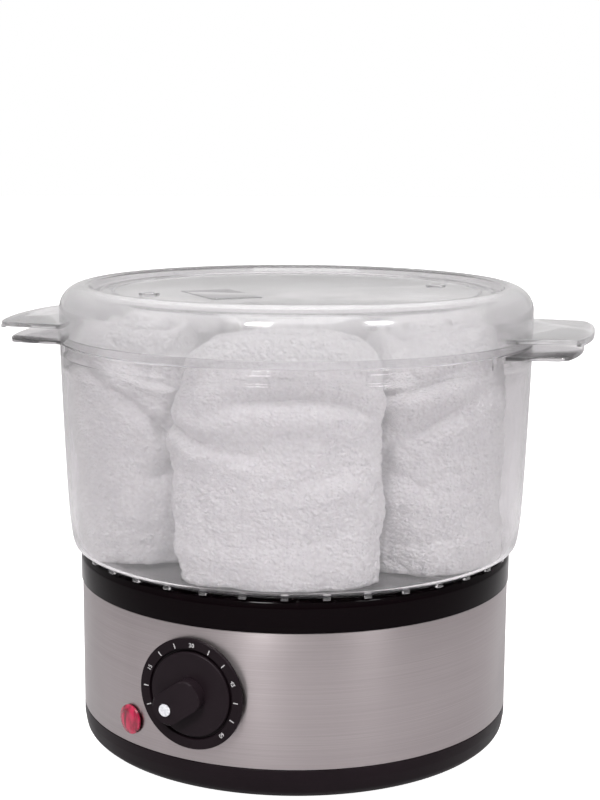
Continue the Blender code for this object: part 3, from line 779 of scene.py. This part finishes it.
def bowl():
    """Clear bowl with its ledge, two grips, tabs under the foot and slots in the floor."""
    wall = [WALL_FROM + (WALL_TO - WALL_FROM) * k / 10 for k in range(11)]
    corners = [(bowl_radius(z), z, 0) for z in wall]
    corners += [(BOWL_R, 176.8, 0.1), (BOWL_R, LEDGE_Z, 0.3), (104.7, LEDGE_Z, 0.3),
                (104.5, LIP_Z, 0.5), (102.9, LIP_Z, 0.5), (102.9, 181.0, 1.5)]
    corners += [(bowl_radius(z) - BOWL_WALL, z, 0) for z in reversed(wall)]
    corners += [(99.6, BOWL_FLOOR_Z, 3.4), (0, BOWL_FLOOR_Z, 0), (0, BOWL_UNDER_Z, 0),
                (98.8, BOWL_UNDER_Z, 1.2), (102.2, BOWL_FLOOR_Z + 0.6, 2.4)]
    bm = bmesh.new()
    turned(bm, rounded(corners), FINE, TURN, ledge_band)
    ob = to_object("clear_bowl", bm, CLEAR_BOWL)

    bm = bmesh.new()
    for turn in (TURN, TURN + 180):
        slab(bm, grip_outline(105.9, BOWL_GRIP_R, turn), *BOWL_GRIP_Z, 0.45, 3)
    combine(ob, to_object("grips", bm, CLEAR_BOWL), "UNION")
    bm = bmesh.new()
    for k in range(TABS):
        box(bm, (TAB_R[1] - TAB_R[0], TAB_WIDTH, TAB_HEIGHT),
            (sum(TAB_R) / 2, 0, BOWL_HOOK_Z + TAB_RISE), 360 / TABS * k + TURN)
    for grip in (0, 180):
        for side in (-BAND_GAP, BAND_GAP):            # small upright ends of the ledge band
            box(bm, (1.6, 0.7, LEDGE_Z - 177.2), (BOWL_R - 0.6, 0, (LEDGE_Z + 176.9) / 2),
                TURN + grip + side)
    combine(ob, to_object("tabs", bm, CLEAR_BOWL), "UNION")
    bm = bmesh.new()
    for count, reach, length in STEAM_SLOTS:
        for k in range(count):
            a = math.radians(360 / count * k + TURN)
            ring = [((reach + x) * math.cos(a) - y * math.sin(a),
                     (reach + x) * math.sin(a) + y * math.cos(a))
                    for x, y in stadium(length, 2.0, 8)]
            slab(bm, ring, 86.0, 94.0)
    combine(ob, to_object("slots", bm, CLEAR_BOWL), "DIFFERENCE")
    return shown(ob, "bowl", "clear_plastic", "bowl")


# ---- lid ----
def quarter(r0, z0, r1, z1, steps):
    """Quarter ellipse from (r0, z0), level there, to (r1, z1), upright there."""
    points = []
    for k in range(steps + 1):
        a = math.pi / 2 * k / steps
        points.append((r0 + (r1 - r0) * math.sin(a), z1 + (z0 - z1) * math.cos(a), 0))
    return points


DISC_RINGS = (82.9, 88.7)             # radii of the raised rings on the sunk disc
PAD_HALF, PAD_AT, PAD_TURN = (11.5, 19.0), (-21.3, -33.3), 50.2
VENT_REACH, VENT_R, COLLAR_R = 68.6, 2.6, 4.6
VENT_AZIMUTHS = (43.8, 223.8)


def lid():
    """Clear lid with a sunk disc, two grips, a plain pad and two steam vents."""
    under = DISC_Z - LID_WALL
    corners = quarter(95.6, CREST_Z, LID_R - 0.15, SHOULDER_Z, 14)
    corners += [(LID_R, SKIRT_LO, 0.45), (LID_R - 2.0, SKIRT_LO, 0.45)]
    corners += reversed(quarter(95.8, CREST_Z - LID_WALL, LID_R - 0.15 - LID_WALL,
                                SHOULDER_Z - 1.0, 12))
    corners += [(93.4, under + 0.4, 1.0), (91.6, under, 1.0), (0, under, 0), (0, DISC_Z, 0)]
    for r in DISC_RINGS:
        corners += [(r - 0.8, DISC_Z, 0.3), (r, DISC_Z + 0.75, 0.5), (r + 0.8, DISC_Z, 0.3)]
    corners += [(92.4, DISC_Z, 0.9), (93.9, CREST_Z - 0.7, 0.9)]
    bm = bmesh.new()
    turned(bm, rounded(corners), FINE, TURN)
    ob = to_object("clear_lid", bm, HAZY_LID)

    bm = bmesh.new()
    for turn in (TURN, TURN + 180):
        slab(bm, grip_outline(106.0, LID_GRIP_R, turn), *LID_GRIP_Z, 0.5, 3)
    combine(ob, to_object("grips", bm, HAZY_LID), "UNION")
    bm = bmesh.new()
    half = math.asin(GRIP_HALF[1] / LID_GRIP_R) * 0.93
    for turn in (TURN, TURN + 180):                   # turned-down lip at each tip
        steps = [math.radians(turn) + half * (k / 12 - 1) for k in range(25)]
        ring = [((LID_GRIP_R - 0.1) * math.cos(a), (LID_GRIP_R - 0.1) * math.sin(a))
                for a in steps]
        ring += [((LID_GRIP_R - 1.9) * math.cos(a), (LID_GRIP_R - 1.9) * math.sin(a))
                 for a in reversed(steps)]
        slab(bm, ring, 186.0, 188.0, 0.4, 2)
    combine(ob, to_object("lips", bm, HAZY_LID), "UNION")
    bm = bmesh.new()
    w, h = PAD_HALF                                   # plain raised pad
    slab(bm, [(w, h), (-w, h), (-w, -h), (w, -h)], DISC_Z - 0.8, DISC_Z + 0.22, 0.2, 3)
    spot = Matrix.Translation((PAD_AT[X] * MM, PAD_AT[Y] * MM, 0))
    turn = Matrix.Rotation(math.radians(PAD_TURN), 4, "Z")
    combine(ob, to_object("pad", bm, HAZY_LID, spot @ turn), "UNION")
    for azimuth in VENT_AZIMUTHS:                     # steam vents with a raised collar
        a = math.radians(azimuth)
        at = Matrix.Translation((VENT_REACH * MM * math.cos(a), VENT_REACH * MM * math.sin(a), 0))
        bm = bmesh.new()
        turned(bm, rounded([(0, DISC_Z - 1, 0), (COLLAR_R, DISC_Z - 1, 0),
                            (COLLAR_R, DISC_Z + 0.7, 0.4), (0, DISC_Z + 0.7, 0)]), 48)
        combine(ob, to_object("collar", bm, HAZY_LID, at), "UNION")
        bm = bmesh.new()
        turned(bm, [(0, DISC_Z - 6), (VENT_R, DISC_Z - 6), (VENT_R, DISC_Z + 4),
                    (0, DISC_Z + 4)], 48)
        combine(ob, to_object("vent", bm, HAZY_LID, at), "DIFFERENCE")
    return shown(ob, "lid", "clear_plastic", "lid")


# ---- rolled face cloths ----
PILE = 2.9                    # thickness of the terry cloth, mm
TOP_FROM, TOP_TUCK = 0.80, 5.0        # the roll draws in above this share of its height, by this
FOOT_TO, FOOT_TUCK = 0.10, 0.8        # and below this share at its foot
BROAD_LUMPS = ((3.4, 28.0, 0), (1.8, 12.0, 10))       # height, size, seed
FINE_LUMPS = ((1.1, 4.4, 20), (0.8, 2.5, 30))         # these fade towards the roll's middle
LUMP_SINK = 0.7


def inset(pitch, phi):
    """How far the middle of the folded stack lies inside the roll's outline at a spiral angle."""
    return pitch * (phi / (2 * math.pi) + 0.05)


def roll_length(half_w, half_d, pitch):
    """Length of the spiral that fills the roll's outline, and where it ends, in radians."""
    length, phi, step = 0.0, 0.0, 0.05
    while half_d - inset(pitch, phi) > 0.35 * pitch:
        a, b = half_w - inset(pitch, phi), half_d - inset(pitch, phi)
        length += math.hypot(a * math.sin(phi), b * math.cos(phi)) * step
        phi += step
    return length, phi


def roll_pitch(half_w, half_d):
    """Thickness of one turn, so that the whole cloth fits the roll."""
    low, high = 5.0, 16.0
    for _ in range(30):
        middle = (low + high) / 2
        if roll_length(half_w, half_d, middle)[0] > CLOTH:
            low = middle
        else:
            high = middle
    return low


def fold_path(ply, fine, coarse):
    """The cloth's width, folded in three: (height, offset outward) from hem to hem."""
    height = (CLOTH - math.pi * ply) / 3
    bend = ply / 2                                    # radius of each fold
    hem = -(ply + PILE) / 2                           # the outer hem hangs down to the floor
    path = [(hem + (height - hem) * k / fine, ply) for k in range(fine)]
    for k in range(9):
        a = math.pi * k / 8
        path.append((height + bend * math.sin(a), bend + bend * math.cos(a)))
    path += [(height * (1 - k / coarse), 0.0) for k in range(1, coarse)]
    for k in range(7):
        a = math.pi * k / 6
        path.append((-bend * math.sin(a), -bend + bend * math.cos(a)))
    path += [(height * k / coarse, -ply) for k in range(1, coarse + 1)]
    return path, height


def crease(z, theta, fold):
    """How far one fold pulls the surface in: a valley, rounded lips, deepest at its middle."""
    height, centre_at, width, depth, slope, bow = fold
    across = (theta - centre_at + 180.0) % 360.0 - 180.0
    side = math.exp(-(across / width) ** 4)
    above = z - height - slope * across + bow * (across / width) ** 2
    valley = -depth * math.exp(-(above / (5.0 if above > 0 else 2.6)) ** 2)
    lip = 0.5 * depth * math.exp(-((above + 7.0) / 6.0) ** 2)
    return side * (valley + lip)


def puff(point, size, seed):
    """Smooth noise with features of about `size` mm, different for each seed."""
    return noise.noise(Vector(point) / size + Vector((seed * 17.3, seed * 5.1, seed * 9.7)))


def lumps(point, layers, k):
    """Sum of noise layers at a point of roll k."""
    return sum(height * puff(point, size, k + seed) for height, size, seed in layers)


def rolled_cloth(k, folds, start, fine):
    """One cloth folded in three and rolled up, standing where the CAD roll stands."""
    low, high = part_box(f"towel_{k}")
    middle = (low + high) / 2 / MM
    azimuth = math.atan2(middle.y, middle.x)
    half_w, half_d = roll_half(k, azimuth)
    swell, shift = SWELL.get(k, (0.0, 0.0)), SHIFT.get(k, (0.0, 0.0))
    half_w, half_d = half_w + swell[0], half_d + swell[1]
    pitch = roll_pitch(half_w, half_d)
    ply = pitch / 3
    end = roll_length(half_w, half_d, pitch)[1]
    path, height = fold_path(ply, int(98 / fine), 22)
    along = roll_steps(half_w, half_d, pitch, end, fine)
    out = Vector((math.cos(azimuth), math.sin(azimuth), 0.0))
    side = Vector((-out.y, out.x, 0.0))
    bottom = TOWEL_LO + ply / 2 + PILE / 2 - 0.5

    bm = bmesh.new()
    grid = []
    for phi in along:
        turn = start + phi
        a, b = half_w - inset(pitch, phi), half_d - inset(pitch, phi)
        c, s = math.cos(turn), math.sin(turn)
        normal = Vector((a * c, b * s)).normalized()
        row = []
        for rise, offset in path:
            x, y = b * c + offset * normal.x, a * s + offset * normal.y
            reach = min(math.hypot(x / half_d, y / half_w), 1.0)
            theta = math.degrees(math.atan2(y / half_w, x / half_d))
            z = bottom + rise
            up = rise / height
            pull = sum(crease(z, theta, f) for f in folds)
            pull -= TOP_TUCK * (max(up - TOP_FROM, 0.0) / (1 - TOP_FROM)) ** 2
            pull -= FOOT_TUCK * (max(FOOT_TO - up, 0.0) / FOOT_TO) ** 2
            body = (x, y, z)
            pull += lumps(body, BROAD_LUMPS, k) - LUMP_SINK
            pull += lumps(body, FINE_LUMPS, k) * reach
            x += normal.x * pull * reach
            y += normal.y * pull * reach
            z += 1.1 * phi / (2 * math.pi) + 0.8 * puff(body, 20.0, k + 40) * up
            z -= DOME.get(k, 6.0) * min(abs(y) / half_w, 1.1) ** 3 * up ** 3
            x, y = x + shift[0], y + shift[1]
            place_at = (middle.x + out.x * x + side.x * y, middle.y + out.y * x + side.y * y)
            place_at = inside_bowl(place_at, z)
            row.append(bm.verts.new((place_at[0] * MM, place_at[1] * MM, z * MM)))
        grid.append(row)
    for near, far in zip(grid, grid[1:]):
        for i in range(len(path) - 1):
            bm.faces.new((near[i], far[i], far[i + 1], near[i + 1]))
    ob = to_object(f"rolled_cloth_{k}", bm, TERRY, angle=180.0)
    solid = ob.modifiers.new("pile", "SOLIDIFY")
    solid.thickness, solid.offset = min(PILE, ply * 0.92) * MM, 0.0
    applied(ob, 180.0)
    shown(ob, "towels", "white_terry", f"towel_{k}")
    return ob


def roll_half(k, azimuth):
    """Half width and half depth of a CAD roll, measured across and along its own azimuth."""
    across, depth = [], []
    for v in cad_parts[f"towel_{k}"].data.vertices:
        x, y = v.co.x / MM, v.co.y / MM
        across.append(-x * math.sin(azimuth) + y * math.cos(azimuth))
        depth.append(x * math.cos(azimuth) + y * math.sin(azimuth))
    return (max(across) - min(across)) / 2, (max(depth) - min(depth)) / 2


def roll_steps(half_w, half_d, pitch, end, fine):
    """Angles along the spiral, close together on the outer turn and wider inside."""
    angles, phi = [], 0.0
    while phi < end:
        angles.append(phi)
        inner = phi / (2 * math.pi)
        a, b = half_w - inset(pitch, phi), half_d - inset(pitch, phi)
        size = math.hypot(a * math.sin(phi), b * math.cos(phi))
        phi += (fine if inner < 1.05 else 3.0) / max(size, 4.0)
    return angles


def inside_bowl(point, z):
    """Keeps a point off the bowl's wall; the cloth presses flat against it."""
    limit = bowl_radius(z) - BOWL_WALL - PILE / 2 - 0.5
    limit = min(limit, 96.8 + max(z - TOWEL_LO, 0.0) * 0.9)
    reach = math.hypot(*point)
    if reach <= limit:
        return point
    return (point[0] * limit / reach, point[1] * limit / reach)


# Folds of each roll: height, angle from the roll's outward side, half width (degrees), depth,
# tilt, droop of the ends
FOLDS = {
    1: [(168.5, 8.0, 44.0, 7.5, 0.0, 5.0), (151.0, -54.0, 46.0, 4.6, -0.18, 0.0),
        (181.5, 10.0, 70.0, 3.2, 0.0, 5.0), (136.0, 30.0, 26.0, 2.4, 0.06, 2.0),
        (108.0, -14.0, 50.0, 1.0, 0.04, -2.0)],
    2: [(176.0, -70.0, 46.0, 4.2, 0.10, 3.0), (156.0, -54.0, 40.0, 4.6, 0.20, 0.0),
        (130.0, -84.0, 30.0, 1.8, -0.12, 0.0), (104.0, -60.0, 40.0, 1.2, 0.05, 0.0)],
    6: [(158.0, 62.0, 50.0, 5.0, -0.36, 0.0), (180.0, 66.0, 40.0, 3.4, -0.10, 2.0),
        (128.0, 84.0, 28.0, 1.8, 0.16, 0.0), (105.0, 60.0, 46.0, 1.0, -0.04, 0.0)],
}
SWELL = {1: (1.5, 0.6), 2: (2.2, 1.6), 6: (3.0, 2.2)}         # half width, half depth
SHIFT = {1: (0.5, 2.4), 2: (1.4, 1.6), 6: (1.8, -2.6)}        # outward, to the side
DOME = {1: 13.0, 2: 9.0, 6: 9.0}                              # how far the top falls to the sides


def rolled_cloths():
    """All six; the ones at the back, hardly seen, get folds drawn at random."""
    for k in range(1, 7):
        draw = random.Random(40 + k)
        folds = FOLDS.get(k) or [
            (draw.uniform(105, 185), draw.uniform(-180, 180), draw.uniform(30, 70),
             draw.uniform(2.0, 4.5), draw.uniform(-0.2, 0.2), draw.uniform(-2, 4))
            for _ in range(6)]
        detail = 1.3 if k in FOLDS else 2.0
        rolled_cloth(k, folds, math.radians(draw.uniform(150, 210)), detail)


# ---- parts that stay as the frame has them ----
def dress(nodes, mat):
    """Give CAD nodes a material."""
    for name in nodes:
        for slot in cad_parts[name].material_slots:
            slot.material = mat


def inner_parts():
    """What the base hides, and the screws under it."""
    dress(["heater_plate"], ALUMINIUM)
    dress(["heater_gasket"], SILICONE)
    dress(["heater_clamp", "timer_bracket", "timer_screw_1", "timer_screw_2", "timer_shaft"]
          + [f"cover_screw_{k}" for k in range(1, 5)], ZINC)
    dress(["thermostat", "timer_body"], PHENOLIC)
    dress(["thermal_fuse", "terminal_block", "gland_clip", "neon_lamp"]
          + [f"pillar_{k}" for k in range(1, 5)], NYLON)
    dress(["lamp_nut"], BLACK_SATIN)


# ---- camera, lights, floor ----
VIEW_TURN = 25.1              # the camera stands this far round from the front, degrees
VIEW_PITCH = 9.647
VIEW_ROLL = 0.328
VIEW_AT = (0.0018, -0.71675, 0.27438)                 # before that turn, metres
LENS, SENSOR = 71.10, 36.0                            # mm
# Brightness of the surround: behind the camera, behind the object, overhead
WALL_FRONT, WALL_BACK, CEILING = 0.40, 0.76, 1.12
SOFTBOX_AIM, SOFTBOX_AWAY = (0, 0, 0.12), 1.3         # metres
FLOOR_R, FLOOR_Z = 6.0, -0.0002                       # metres


def camera():
    """The main camera, at the photo's viewpoint."""
    data = bpy.data.cameras.new("camera")
    data.sensor_width = SENSOR
    data.lens = LENS
    data.clip_start, data.clip_end = 0.01, 50.0
    ob = linked("camera", data)
    round_it = Matrix.Rotation(math.radians(VIEW_TURN), 4, "Z")
    ob.matrix_world = (Matrix.Translation(round_it @ Vector(VIEW_AT)) @ round_it
                       @ Matrix.Rotation(math.radians(90.0 - VIEW_PITCH), 4, "X")
                       @ Matrix.Rotation(math.radians(VIEW_ROLL), 4, "Z"))
    bpy.context.scene.camera = ob


def softbox(name, azimuth, elevation, size, power):
    """An area light aimed at the bowl; azimuth is measured from the camera's side, to its right."""
    data = bpy.data.lights.new(name, "AREA")
    data.shape = "RECTANGLE"
    data.size, data.size_y = size
    data.energy = power
    a = math.radians(VIEW_TURN - 90.0 + azimuth)
    e = math.radians(elevation)
    target = Vector(SOFTBOX_AIM)
    at = target + SOFTBOX_AWAY * Vector((math.cos(a) * math.cos(e), math.sin(a) * math.cos(e),
                                         math.sin(e)))
    ob = linked(name, data)
    ob.location = at
    ob.rotation_euler = (target - at).to_track_quat("-Z", "Y").to_euler()


def studio_world():
    """Soft surround: bright overhead, grey walls that darken behind the camera, white backdrop."""
    world = bpy.data.worlds.new("studio")
    bpy.context.scene.world = world
    world.use_nodes = True
    tree = world.node_tree
    new, join = tree.nodes.new, tree.links.new
    coords = new("ShaderNodeTexCoord")
    facing = new("ShaderNodeVectorMath")
    facing.operation = "DOT_PRODUCT"
    a = math.radians(VIEW_TURN + 90.0)
    facing.inputs[1].default_value = (math.cos(a), math.sin(a), 0.0)
    join(coords.outputs["Generated"], facing.inputs[0])
    walls = new("ShaderNodeMapRange")
    walls.interpolation_type = "SMOOTHSTEP"
    for key, value in (("From Min", -1.0), ("From Max", 0.6), ("To Min", WALL_FRONT),
                       ("To Max", WALL_BACK)):
        walls.inputs[key].default_value = value
    join(facing.outputs["Value"], walls.inputs["Value"])
    split = new("ShaderNodeSeparateXYZ")
    join(coords.outputs["Generated"], split.inputs["Vector"])
    height = new("ShaderNodeMapRange")
    height.interpolation_type = "SMOOTHSTEP"
    height.inputs["From Min"].default_value = 0.15
    height.inputs["From Max"].default_value = 0.70
    join(split.outputs["Z"], height.inputs["Value"])
    level = new("ShaderNodeMix")
    level.inputs["B"].default_value = CEILING
    join(height.outputs["Result"], level.inputs["Factor"])
    join(walls.outputs["Result"], level.inputs["A"])
    surround = tree.nodes["Background"]
    surround.inputs["Color"].default_value = (1.0, 0.985, 0.99, 1)
    join(level.outputs["Result"], surround.inputs["Strength"])
    backdrop = new("ShaderNodeBackground")
    backdrop.inputs["Color"].default_value = (1, 1, 1, 1)
    path, pick = new("ShaderNodeLightPath"), new("ShaderNodeMixShader")
    join(path.outputs["Is Camera Ray"], pick.inputs["Fac"])
    join(surround.outputs["Background"], pick.inputs[1])
    join(backdrop.outputs["Background"], pick.inputs[2])
    join(pick.outputs["Shader"], tree.nodes["World Output"].inputs["Surface"])


def floor():
    """Pale paper floor, a hair below the feet."""
    mat = new_material("pale_paper", (0.48, 0.475, 0.48), 0.9)
    tint(mat, grain(mat, 30, 3.0), (0.47, 0.462, 0.468), (0.49, 0.482, 0.488))
    bump(mat, (grain(mat, 1.0, 2.0), 0.05, 0.1))
    path = add(mat, "ShaderNodeLightPath")            # shows white to the camera, adds no light
    shader = mat.node_tree.nodes["Principled BSDF"]
    shader.inputs["Emission Color"].default_value = (1, 1, 1, 1)
    link(mat, path.outputs["Is Camera Ray"], shader.inputs["Emission Strength"])
    bm = bmesh.new()
    bmesh.ops.create_circle(bm, cap_ends=True, segments=96, radius=FLOOR_R)
    ob = to_object("paper_floor", bm, mat)
    ob.location.z = FLOOR_Z


def studio():
    """Camera, floor, surround and three softboxes."""
    camera()
    floor()
    studio_world()
    softbox("softbox_left", -19.0, 40.0, (0.20, 0.26), 15.5)
    softbox("softbox_right", 43.0, 40.0, (0.20, 0.26), 8.5)
    softbox("softbox_top", -8.0, 66.0, (1.0, 1.0), 8.0)
    bpy.context.scene.view_settings.view_transform = "Standard"


bottom_cover()
steel_band()
rim_and_basin()
feet()
dial_ring()
dial_marks()
knob()
lamp()
gland()
bowl()
lid()
rolled_cloths()
inner_parts()
studio()
